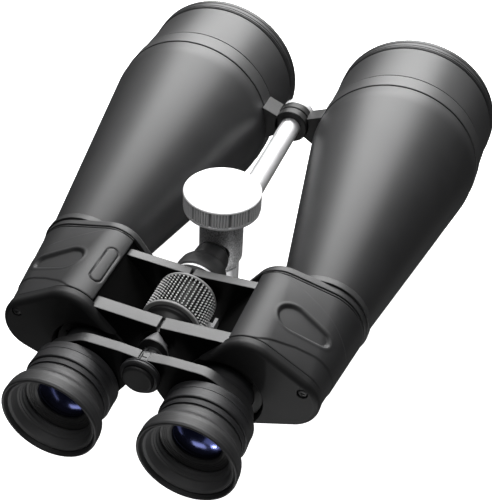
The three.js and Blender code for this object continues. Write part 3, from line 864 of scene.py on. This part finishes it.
def cover_shell():
    """The end cap: a flat face with a rounded border, cut away round the eyepiece."""
    rear, front = COVER_Y
    sections = []
    for inset, rise in quarter(8):
        sections.append(end_section(rear + COVER_CORNER * rise, (COVER_CORNER - 0.4) * inset))
    sections += [end_section(front - 0.2), end_section(front, 0.2)]
    mouth = WELL_R + WELL_FLARE
    well = turned([
        (0, rear - 1), (mouth, rear - 1), (mouth, rear - 0.1), (WELL_R + 0.25, rear + 0.25),
        (WELL_R, rear + WELL_FLARE), (WELL_R, front + 1), (0, front + 1),
    ], EYEPIECE, 192)
    hole = turned([
        (0, rear - 1), (2.9, rear - 1), (2.9, rear - 0.05), (2.65, rear + 0.2), (2.65, rear + 2.2),
        (0, rear + 2.2),
    ], SCREW, 48)
    hollow = loft([end_section(y, 3.6, 120) for y in (rear + 4.2, front + 1)])
    return combine([loft(sections)], [well, hinge_notch(front + 1), hole, hollow])


def well_shell():
    """The dark floor round the eyepiece, behind the cover's cut-away."""
    floor = COVER_Y[0] + 3.6
    outline = soften([(EYEPIECE[0] + 19.6 * math.cos(a), EYEPIECE[1] + 19.6 * math.sin(a))
                      for a in np.linspace(0, 2 * math.pi, 96, endpoint=False)], 0)
    disc = plate(outline, (floor, floor + 1.6), 0.3)
    slot = plate(soften([(42, 78.2), (47.4, 74.6), (48.4, 76.2), (43, 79.8)], 0.6, 4),
                 (floor - 1, floor + 0.9), 0.1)
    bore = bar(TUBE_BORE, (floor - 1, floor + 3), EYEPIECE)
    return combine([disc], [bore, slot, hinge_notch(floor + 3)])


def screw_shell():
    """A pan head with a cross recess."""
    rear, front = reach_y("cover_screw_right")
    head = turned(soften([
        (0, rear, 0), (1.7, rear + 0.05, 1.2), (2.35, rear + 0.5, 0.3), (2.35, rear + 1.2, 0.1),
        (1.3, rear + 1.2, 0.1), (1.3, front, 0.2), (0, front, 0),
    ], 0.2, 4), SCREW, 48)
    x, z = SCREW
    arms = [
        block((x - 1.35, rear - 1, z - 0.28), (x + 1.35, rear + 0.75, z + 0.28)),
        block((x - 0.28, rear - 1, z - 1.35), (x + 0.28, rear + 0.75, z + 1.35)),
    ]
    return combine([head], arms)


for side, s in SIDES:
    half = f"{side}_half"
    cap, body = housing_shells()
    side_piece("housing_cap", side, half, HOUSING_PAINT, cap, "prism_housing")
    # The housing body is painted near black as painted shadow on the wall between the arms.
    side_piece("housing_body", side, half, SHADOW_PAINT, body)
    side_piece("hinge_arm_front", side, half, ARM_PAINT, hinge_arm(FRONT_ARM_Y, s))
    side_piece("hinge_arm_rear", side, half, ARM_PAINT, hinge_arm(REAR_ARM_Y, s))
    side_piece("armour_skin", side, half, ARMOUR_RUBBER, [armour_shell(s)], "armour", 50)
    side_piece("end_cover", side, half, COVER_PLASTIC, [cover_shell()], "rear_cover")
    side_piece("eyepiece_well", side, half, CELL_BLACK, [well_shell()])
    side_piece("end_screw", side, half, RIM_BLACK, [screw_shell()], "cover_screw")


# ---- Eyepiece end ---------------------------------------------------------------------------

def ocular_arm_shells(s):
    circles = [(*EYEPIECE, 19.2), (27, 76.6, 15), (13, 81.6, 9.8), (2.6, 89.9, 0.5), (6.6, 74, 0.4)]
    outline = evenly(hull(circles), 200)
    span = OCULAR_ARM_Y
    arm, eye = eye_and_arm(outline, span, s, 7.4, AXLE_R, 0.5)
    return [combine([arm], [bar(TUBE_BORE, (span[0] - 1, span[1] + 1), EYEPIECE)]), eye]


def eye_tube_shell():
    rear, front = TUBE_Y
    shoulder = rear + 4.6
    return turned(soften([
        (13.4, rear, 0.2), (21.7, rear, 0.1), (21.8, shoulder - 0.8, 0.4),
        (21.2, shoulder, 0.4), (TUBE_R, shoulder, 0.2), (TUBE_R, front, 0.4), (13.4, front, 0.3),
    ], 0.3, 3), EYEPIECE, 160)


def eye_ring_shell():
    """The outer ring: a broad band, a fine groove and a narrower band towards the eyecup."""
    rear, front = EYE_RING_Y
    step = rear + 3.1
    return turned(soften([
        (20.4, rear), (20.9, rear, 0.2), (21.15, step - 0.7, 0.2), (20.7, step - 0.45, 0.1),
        (20.8, step - 0.1, 0.1), (21.7, step, 0.25), (21.9, step + 0.5, 0.2), (21.75, front + 0.25, 0.1),
        (19.6, front + 0.25), (19.6, rear + 2.9, 0), (20.4, rear + 2.9, 0),
    ], 0.2, 3), EYEPIECE, 160)


def ocular_cell_shell():
    """The lens cell: a dished seat behind the eye lens, cut with anti-glare steps."""
    rear, front = CELL_Y
    profile = [(10.2, front), (19.2, front), (19.2, rear), (17.0, rear, 0.2)]
    for k in range(3):
        profile += [
            (16.2 - 0.9 * k, rear + 0.25 + 0.25 * k, 0.1), (16.0 - 0.9 * k, rear + 0.5 + 0.25 * k, 0.1),
        ]
    profile += [(13.3, rear + 1.1, 0.3), (12.3, rear + 1.9, 0.2), (12.2, rear + 5.6), (10.2, rear + 5.6)]
    return turned(soften(profile, 0.15, 2), EYEPIECE, 128)


def cup_shells():
    """The rubber eyecup: a sleeve let into the ring, a neck that flares to a rolled rim, and the
    stepped skirt inside it."""
    rear, front = CUP_Y
    skin = turned(soften([
        (19.5, front + 2.75, 0.1), (20.2, front + 2.75, 0.1), (20.2, front + 0.35, 0.1),
        (21.0, front - 0.1, 0.25), (21.0, front - 2.4, 4), (21.7, front - 4.6, 4),
        (23.6, front - 7.0, 4), (24.1, front - 9.5, 3), (24.2, rear + 1.4, 0.8), (23.9, rear + 0.3),
        (23.4, rear), (22.7, rear + 0.3, 0.2), (22.4, rear + 2.2, 0.2), (20.6, rear + 7.5, 1),
        (19.5, front - 3.0, 1),
    ]), EYEPIECE, 160)
    lining = turned(soften([
        (22.5, rear + 2.6), (21.3, rear + 1.9, 0.3), (20.3, rear + 2.7, 0.3), (19.3, rear + 6.6, 0.6),
        (18.4, rear + 7.0, 0.15), (18.3, rear + 7.4, 0.15), (17.6, rear + 8.0, 0.3),
        (17.5, rear + 9.2, 0.3), (17.25, rear + 9.4, 0.1), (17.2, rear + 9.8, 0.1),
        (17.05, rear + 10.0, 0.1), (17.05, rear + 10.5, 0.1), (17.4, rear + 11.4),
        (17.4, front - 3.9), (19.5, front - 3.9), (20.4, rear + 7.5, 0.3),
    ], 0.2), EYEPIECE, 160)
    return skin, lining


for side, s in SIDES:
    arm_body = f"{side}_eyepiece"
    cup_body = "right_ocular" if s > 0 else "left_eyepiece"
    side_piece("ocular_plate", side, arm_body, ARM_PAINT, ocular_arm_shells(s), "ocular_arm")
    side_piece("eye_tube", side, arm_body, EYEPIECE_BLACK, [eye_tube_shell()], "eyepiece_tube")
    ring_body = "diopter" if s > 0 else "left_eyepiece"
    ring_node = "diopter_ring" if s > 0 else "eyepiece_ring_left"
    piece(f"eye_ring_{side}", ring_body, EYEPIECE_BLACK, [mirrored(eye_ring_shell(), s)],
          [ring_node])
    side_piece("eye_cell", side, cup_body, CELL_STEPS, [ocular_cell_shell()], "ocular_cell")
    skin, lining = cup_shells()
    side_piece("eye_cup", side, cup_body, CUP_RUBBER, [skin], "eyecup", 40)
    # The lining carries painted light: it is lighter grey than the cup's rubber.
    side_piece("cup_lining", side, cup_body, CUP_LINING, [lining])
    eye = lens_shell(11.9, EYE_LENS_Y[1], EYE_LENS_Y[0] + 1.7, -0.2, 1.7, EYEPIECE)
    side_piece("eye_glass", side, cup_body, EYE_DARK, [eye], "eye_lens")
    field = lens_shell(13, FIELD_LENS_Y[1] - 1.4, FIELD_LENS_Y[0] + 1.7, 1.4, 1.7, EYEPIECE)
    side_piece("field_glass", side, arm_body, FIELD_GLASS, [field], "field_lens")


# ---- Centre ---------------------------------------------------------------------------------

def rod_shell():
    low, high = reach_y("brace_rod")
    return turned(soften([(0, low, 0), (ROD_R, low), (ROD_R, high), (0, high, 0)], 0.4), HINGE, 96)


def cap_shell():
    low, high = reach_y("rod_cap")
    return turned(soften([
        (0, low, 0), (9.4, low, 0.3), (9.8, low + 0.5, 0.3), (9.8, high - 1.2, 0.8),
        (8.6, high, 0.6), (0, high, 0),
    ], 0.4, 5), HINGE, 96)


def boot_shell():
    """The rubber boot: a drum with a domed shoulder and a short neck."""
    rear, front = BOOT_Y
    return turned(soften([
        (AXLE_R + CLEAR, rear), (12.8, rear, 0.5), (13.3, rear + 1.0, 0.6), (13.4, rear + 6, 3),
        (12.9, rear + 9.5, 3), (11.4, rear + 12.4, 2), (9.9, rear + 13.2, 0.6), (9.7, rear + 14.2, 0.5),
        (9.2, front - 1.6, 1), (8.4, front, 0.8), (ROD_R + CLEAR, front), (ROD_R + CLEAR, rear + 7.9),
        (AXLE_R + CLEAR, rear + 7.9),
    ], 0.3, 5), HINGE, 128)


def washer_shell():
    low, high = reach_y("boot_washer")
    return turned(soften([(AXLE_R + CLEAR, low), (13, low), (13, high), (AXLE_R + CLEAR, high)], 0.3, 3),
                  HINGE, 128)


def arch(half, top):
    """An oval outline round the hinge axis: half wide to each side, top high, 7.4 deep."""
    angles = np.linspace(0, 2 * math.pi, 96, endpoint=False)
    x = half * np.cos(angles)
    z = np.where(np.sin(angles) > 0, top, 7.4) * np.sin(angles)
    return np.column_stack([x + HINGE[0], z + HINGE[1]])


def bell_shells():
    """The cap behind the rear arms: arched at its base and drawn in to a ridge at the front."""
    low, high = reach_y("axle_bell")
    sections = []
    for k in range(15):
        share = k / 14
        outline = arch(6.6 * math.sqrt(1 - share * share) + 0.6, 9.2 + 0.2 * share)
        sections.append(at_y(outline, low + 1.0 + (high - low - 1.1) * share))
    bore = bar(AXLE_R + CLEAR, (low - 1, high + 1), HINGE)
    base = plate(arch(7.5, 9.6), (low, low + 0.9), 0.3)
    return combine([loft(sections)], [bore]), combine([base], [bore])


def wheel_shell():
    """The metal wheel under the grip, with a dished collar towards the eyepieces."""
    low, high = reach_y("focus_wheel")
    return turned(soften([
        (AXLE_R + 0.4, low), (8.6, low, 0.4), (9.6, low + 0.7, 0.5), (11.4, low + 3.6, 2),
        (12.9, low + 4.6, 0.8), (13.0, GRIP_Y[0] + 0.4, 0.2), (13.0, GRIP_Y[1], 0.3),
        (12.4, GRIP_Y[1] + 0.9, 0.5), (10.0, high, 0.6), (AXLE_R + 0.4, high),
    ]), HINGE, 128)


KNURL_ROWS = 11
KNURL_COLUMNS = 44
LIP = 1.7
LIP_TIPS = 0.62


def grip_shell():
    """The rubber tread: smooth lips at both ends and rows of square pyramids between them."""
    rear, front = GRIP_Y
    first, last = rear + LIP, front - LIP
    pitch = (last - first) / KNURL_ROWS
    rise = {0.0: 0.0, 0.3: 0.0, 0.5: 1.0, 0.75: 1.0, 0.95: 0.0}
    valley, crest = GRIP_R - 1.5, GRIP_R + 0.15
    lip_profile = [
        (13.2, 0.0), (14.7, 0.0), (15.1, 0.12), (15.3, 0.45), (15.3, LIP - 0.35), (14.9, LIP - 0.1),
    ]
    rows = [(r, rear + d, 0.0) for r, d in lip_profile]
    for k in range(KNURL_ROWS):
        rows += [(None, first + (k + step) * pitch, height) for step, height in rise.items()]
    rows.append((None, last, 0.0))
    rows += [(r, front - d, 0.0) for r, d in reversed(lip_profile)]
    columns = [(k + step, height) for k in range(KNURL_COLUMNS) for step, height in rise.items()]
    points, tips = [], []
    for radius, y, row_rise in rows:
        for column, column_rise in columns:
            angle = 2 * math.pi * column / KNURL_COLUMNS
            tip = min(row_rise, column_rise)
            r = radius if radius is not None else valley + (crest - valley) * tip
            points.append((HINGE[0] + r * math.cos(angle), y, HINGE[1] + r * math.sin(angle)))
            # The value the grip's material paints from: highlight at the knurl's tips, shade in its
            # valleys, LIP_TIPS on the smooth lips.
            tips.append(tip if radius is None else LIP_TIPS)
    count = len(columns)
    return loft([points[k:k + count] for k in range(0, len(points), count)], loop=True), tips


def hub_shell():
    """The focusing bridge's hub: a stepped turning."""
    low, high = reach_y("bridge_hub")
    return turned(soften([
        (3.3, low), (8.6, low, 0.2), (9.3, low + 0.35, 0.3), (9.9, low + 1.1, 0.3), (9.9, low + 1.9, 0.2),
        (9.3, low + 2.2, 0.15), (9.3, low + 2.7, 0.15), (9.7, low + 2.9, 0.2), (9.6, low + 3.4, 0.3),
        (8.6, low + 3.9, 0.2), (8.6, low + 4.2, 0.2), (4.7, low + 4.2, 0.1), (4.7, high - 0.7, 0.1),
        (6.8, high - 0.7, 0.15), (6.8, high, 0.2), (3.3, high),
    ], 0.2, 3), HINGE, 128)


def hub_cap_shell():
    low, high = reach_y("hub_cap")
    return turned(soften([
        (0, low + 0.25, 0), (6.3, low + 0.05, 1.5), (7.1, low + 0.1, 0.3), (7.8, low + 0.8, 0.4),
        (7.8, high, 0.1), (0, high, 0),
    ]), HINGE, 96)


def link_shell():
    """The small block that joins the ocular arms at the hinge, slotted across its top."""
    rear, front = OCULAR_ARM_Y[0] + 0.4, OCULAR_ARM_Y[1] - 0.8
    top = 90.0
    outline = soften([(-2.2, 84), (2.3, 84), (2.3, top), (-2.2, top)], 0.4, 3)
    middle = (rear + front) / 2 - 0.6
    slots = [
        block((-1.5, rear - 1, top - 0.9), (-0.9, front + 1, top + 1)),
        block((-1.2, middle - 0.35, top - 0.9), (1.4, middle + 0.35, top + 1)),
    ]
    return combine([plate(outline, (rear, front), 0.3)], slots)


def tab_shell():
    low, high = box_mm("index_tab")
    left, right, top = low.x, high.x - 0.5, high.z - 1.2
    outline = soften([(left, low.z - 2), (right, low.z - 2), (right, top), (left, top)], 0.3, 3)
    return plate(outline, (low.y, high.y - 3.5), 0.3)


piece("brace_tube", "shaft", CHROME, [rod_shell()], ["brace_rod"])
piece("brace_cap", "shaft", CHROME, [cap_shell()], ["rod_cap"])
piece("boot", "shaft", BOOT_RUBBER, [boot_shell()], ["rod_boot"], 40)
piece("washer", "shaft", CHROME, [washer_shell()], ["boot_washer"])
bell, bell_base = bell_shells()
piece("bell", "shaft", BELL_METAL, [bell], ["axle_bell"])
piece("bell_base", "shaft", RIM_BLACK, [bell_base])
piece("wheel", "focus", RIM_BLACK, [wheel_shell()], ["focus_wheel"])
grip, grip_tips = grip_shell()
tread = piece("grip", "focus", KNURL, [grip], ["focus_grip"], 20)
# The tips attribute drives the grip's painted highlight and painted shade.
set_attribute(tread, "tips", grip_tips)
piece("hub", "bridge", EYEPIECE_BLACK, [hub_shell()], ["bridge_hub"])
piece("hub_disc", "bridge", COVER_PLASTIC, [hub_cap_shell()], ["hub_cap"])
piece("hinge_block", "bridge", ARM_PAINT, [link_shell()])
piece("tab", "right_half", TAB_METAL, [tab_shell()], ["index_tab"])


# ---- Tripod post ----------------------------------------------------------------------------

def post_shell():
    """The bright post, with the hole for the thread insert in its foot."""
    high = box_mm("tripod_post")[1]
    return turned(soften([
        (0, 12.3, 0), (5.3, 12.3), (5.3, 0.3, 0.1), (5.6, 0, 0.1), (9.2, 0, 0.2), (POST_R, 0.8, 0.6),
        (POST_R, high.z - 0.5, 0.4), (POST_R - 0.5, high.z, 0.2), (0, high.z, 0),
    ]), segments=96, upright=True)


def insert_shell():
    """The threaded brass insert, drawn with rings for its thread."""
    profile = [(5, 0.15, 0.1), (5, 12, 0.2), (3.2, 12, 0.2)]
    pitch = 1.27
    for k in range(9):
        height = 11.6 - pitch * k
        profile += [(3.6, height - pitch / 2, 0.08), (3.15, height - pitch, 0.08)]
    profile += [(3.6, 0.15, 0.1)]
    return turned(soften(profile, 0.1, 2), segments=64, upright=True)


def clamp_shell():
    """The cast clamp: a waisted turning with a cross bore for the rod."""
    low, high = CLAMP_Z
    body = turned(soften([
        (0, low, 0), (POST_R - 0.6, low, 0.3), (POST_R, low + 0.6, 0.4), (POST_R + 0.1, low + 1.6, 1),
        (CLAMP_R, low + 4.2, 3), (CLAMP_R, high - 1.2, 0.6), (CLAMP_R - 0.8, high, 0.5), (0, high, 0),
    ], 0.4, 5), segments=128, upright=True)
    bore = bar(8, (-15, 15), HINGE)
    throat = turned([(0, 84), (4.2, 84), (4.2, high + 1), (0, high + 1)], segments=64, upright=True)
    return combine([body], [bore, throat])


def bush_shell():
    low, high = reach_y("clamp_bush")
    lining = turned(soften([
        (ROD_R + CLEAR, low), (7.7, low), (7.7, high), (ROD_R + CLEAR, high),
    ], 0.2, 3), HINGE, 96)
    return combine([lining], [block((-0.6, low - 1, HINGE[1] - 10), (0.6, high + 1, HINGE[1] - 4))])


NOTCHES = 12
NOTCH_SHARE = 0.13
NOTCH_DEPTH = 0.9
RIBS = 6
RIB_DEPTH = 0.8
KNOB_STEPS = 1152


def knob_radius(angle):
    """The knurled edge of the knob: groups of fine ribs between wider notches."""
    group = 2 * math.pi / NOTCHES
    within = (angle % group) / group
    if within < NOTCH_SHARE:
        return KNOB_R - NOTCH_DEPTH * math.sin(math.pi * within / NOTCH_SHARE) ** 0.7
    rib = (within - NOTCH_SHARE) / (1 - NOTCH_SHARE) * RIBS % 1
    return KNOB_R - RIB_DEPTH * (1 - math.sin(math.pi * rib) ** 0.8)


def knob_shell():
    """The lock knob: a plain polished top, a ribbed edge and a thin lip below it. The second
    result is how far each point stands out: 1 on a rib, 0 between ribs, a little less in a notch."""
    low, high = KNOB_Z
    top = soften([(0, high, 0), (19.7, high, 0.4), (KNOB_R, high - 0.5), (KNOB_R, high - 0.9, 0)])
    lower = soften([
        (19.6, high - 9.5, 0), (20.0, high - 9.8, 0.2), (20.0, high - 10.9, 0.3), (19.2, high - 11.6, 0.4),
        (13.2, high - 11.8, 0.5), (11.2, low + 2.4, 0.6), (10.4, low + 1.6, 0.4), (10.3, low, 0.3),
        (3.5, low, 0.2), (3.5, high - 6.4, 0.3), (0, high - 6.4, 0),
    ])
    points, rings, crests = [], [], []
    for r, h in [*top, (None, high - 1.0), (None, high - 9.3), *lower]:
        if r is not None and r < ON_AXIS:
            rings.append([len(points)])
            points.append((0, 0, h))
            crests.append(1.0)
            continue
        rings.append(list(range(len(points), len(points) + KNOB_STEPS)))
        for k in range(KNOB_STEPS):
            angle = 2 * math.pi * k / KNOB_STEPS
            radius = knob_radius(angle) if r is None else r
            points.append((radius * math.cos(angle), radius * math.sin(angle), h))
            crests.append(1 - (KNOB_R - radius) / RIB_DEPTH if r is None else 1.0)
    return (points, strips(rings, KNOB_STEPS)), crests


def knob_screw_shell():
    low, high = box_mm("lock_screw")
    profile = [(0, low.z, 0), (2.5, low.z, 0.2)]
    height = low.z + 0.5
    while height < high.z - 1.2:
        profile += [(3.0, height, 0.08), (2.55, height + 0.5, 0.08)]
        height += 1.0
    profile += [(3.0, high.z, 0.1), (0, high.z, 0)]
    return turned(soften(profile, 0.1, 2), segments=48, upright=True)


def pad_shell():
    low, high = box_mm("pressure_pad")
    profile = [(0, low.z, 0), (3.8, low.z), (3.8, high.z), (0, high.z, 0)]
    return turned(soften(profile, 0.3, 3), segments=48, upright=True)


piece("post_tube", "post", CHROME, [post_shell()], ["tripod_post"])
piece("post_insert", "post", BRASS, [insert_shell()], ["thread_insert"])
piece("clamp", "post", CAST, [clamp_shell()], ["clamp_body"])
piece("bush_lining", "bush", CELL_BLACK, [bush_shell()], ["clamp_bush"])
knob, knob_crests = knob_shell()
turn_knob = piece("knob", "knob", KNOB_METAL, [knob], ["lock_knob"])
# The ribs attribute paints shade into the knob's grooves and notches.
set_attribute(turn_knob, "ribs", knob_crests)
piece("knob_screw", "knob", SATIN_STEEL, [knob_screw_shell()], ["lock_screw"])
piece("pad_disc", "pad", BRASS, [pad_shell()], ["pressure_pad"])


# ---- Pieces kept from the CAD model ---------------------------------------------------------

def finish_node(node, material):
    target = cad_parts[node]
    target.data.materials.clear()
    target.data.materials.append(material)


for side, _ in SIDES:
    finish_node(f"rear_prism_{side}", PRISM_GLASS)
    finish_node(f"front_prism_{side}", PRISM_GLASS)
    finish_node(f"prism_plate_{side}", CAST)
finish_node("hinge_axle", SATIN_STEEL)
finish_node("focus_spindle", SATIN_STEEL)


# ---- Floor, light and camera ----------------------------------------------------------------

FLOOR_HALF = 6000
TARGET = Vector((0, 0.0195, 0.075))
EYE_LENSES = Vector((0, -0.12, 0.068))
AZIMUTH = math.radians(18.68)
ELEVATION = math.radians(38.61)
ROLL = math.radians(2.33)
DISTANCE = 0.6036


def make_floor():
    """A white ground that the camera sees and nothing reflects, just under the post's foot."""
    h = FLOOR_HALF
    mesh = to_mesh("floor", [([(-h, -h, 0), (h, -h, 0), (h, h, 0), (-h, h, 0)], [(0, 1, 2, 3)])])
    floor = bpy.data.objects.new("floor", mesh)
    bpy.context.scene.collection.objects.link(floor)
    floor.location.z = -0.0005
    material, _, shader = new_material("floor", 0.9, 0.0, 0.0)
    shader.inputs["Base Color"].default_value = (0.8, 0.8, 0.8, 1)
    shader.inputs["Emission Color"].default_value = (1, 1, 1, 1)
    shader.inputs["Emission Strength"].default_value = 1.2
    mesh.materials.append(material)
    floor.visible_glossy = False
    floor.visible_diffuse = False
    floor.visible_transmission = False
    floor.visible_shadow = False


def area_light(name, way, distance, size, radiance, target=TARGET):
    """A rectangular soft light that lies some way off from its target and faces it."""
    data = bpy.data.lights.new(name, "AREA")
    data.shape = "RECTANGLE"
    data.size, data.size_y = size
    data.energy = radiance * math.pi * size[0] * size[1]
    lamp = bpy.data.objects.new(name, data)
    bpy.context.scene.collection.objects.link(lamp)
    lamp.location = target + Vector(way).normalized() * distance
    lamp.rotation_euler = (-Vector(way)).to_track_quat("-Z", "Y").to_euler()
    lamp.visible_camera = False


def towards(azimuth, elevation):
    """A direction from its azimuth off +Y towards +X, and its elevation, in degrees."""
    a, e = math.radians(azimuth), math.radians(elevation)
    return (math.sin(a) * math.cos(e), math.cos(a) * math.cos(e), math.sin(e))


def make_world():
    world = bpy.data.worlds.new("studio")
    bpy.context.scene.world = world
    world.use_nodes = True
    background = world.node_tree.nodes["Background"]
    background.inputs["Color"].default_value = (1, 1, 1, 1)
    background.inputs["Strength"].default_value = 0.04


def make_camera():
    data = bpy.data.cameras.new("camera")
    data.lens = 79.8
    data.sensor_width = 36
    data.shift_x = 0.0253
    data.shift_y = -0.0381
    data.clip_start = 0.01
    camera = bpy.data.objects.new("camera", data)
    bpy.context.scene.collection.objects.link(camera)
    flat = math.cos(ELEVATION)
    back = Vector((math.sin(AZIMUTH) * flat, -math.cos(AZIMUTH) * flat, math.sin(ELEVATION)))
    right = (-back).cross(Vector((0, 0, 1))).normalized()
    up = right.cross(-back)
    turned_right = math.cos(ROLL) * right + math.sin(ROLL) * up
    turned_up = -math.sin(ROLL) * right + math.cos(ROLL) * up
    turn = Matrix((turned_right, turned_up, back)).transposed()
    camera.matrix_world = Matrix.Translation(TARGET + back * DISTANCE) @ turn.to_4x4()
    bpy.context.scene.camera = camera


make_floor()
make_world()
area_light("key", towards(-15, 43), 0.8, (0.70, 0.60), 8.5, Vector((0.065, 0.06, 0.09)))
area_light("key_halo", towards(-15, 43), 1.3, (1.9, 1.1), 1.0)
area_light("top", towards(160, 76), 1.0, (0.9, 0.7), 2.2)
area_light("low_right", towards(138, -38), 1.0, (1.4, 0.5), 1.5)
area_light("low_side", towards(52, -38), 1.0, (0.5, 0.4), 0.2)
area_light("fill_left", towards(-62, 25), 1.6, (0.8, 1.2), 0.35)
area_light("fill_right", towards(30, 18), 1.5, (0.5, 0.6), 0.9)
area_light("window", towards(-166, -53), 0.85, (0.17, 0.12), 4.0, EYE_LENSES)
area_light("window_strip", towards(-143, -38), 0.85, (0.03, 0.22), 1.6, EYE_LENSES)
area_light("glint", towards(172, -50), 0.85, (0.04, 0.04), 90, EYE_LENSES)
make_camera()
bpy.context.scene.view_settings.view_transform = "Standard"
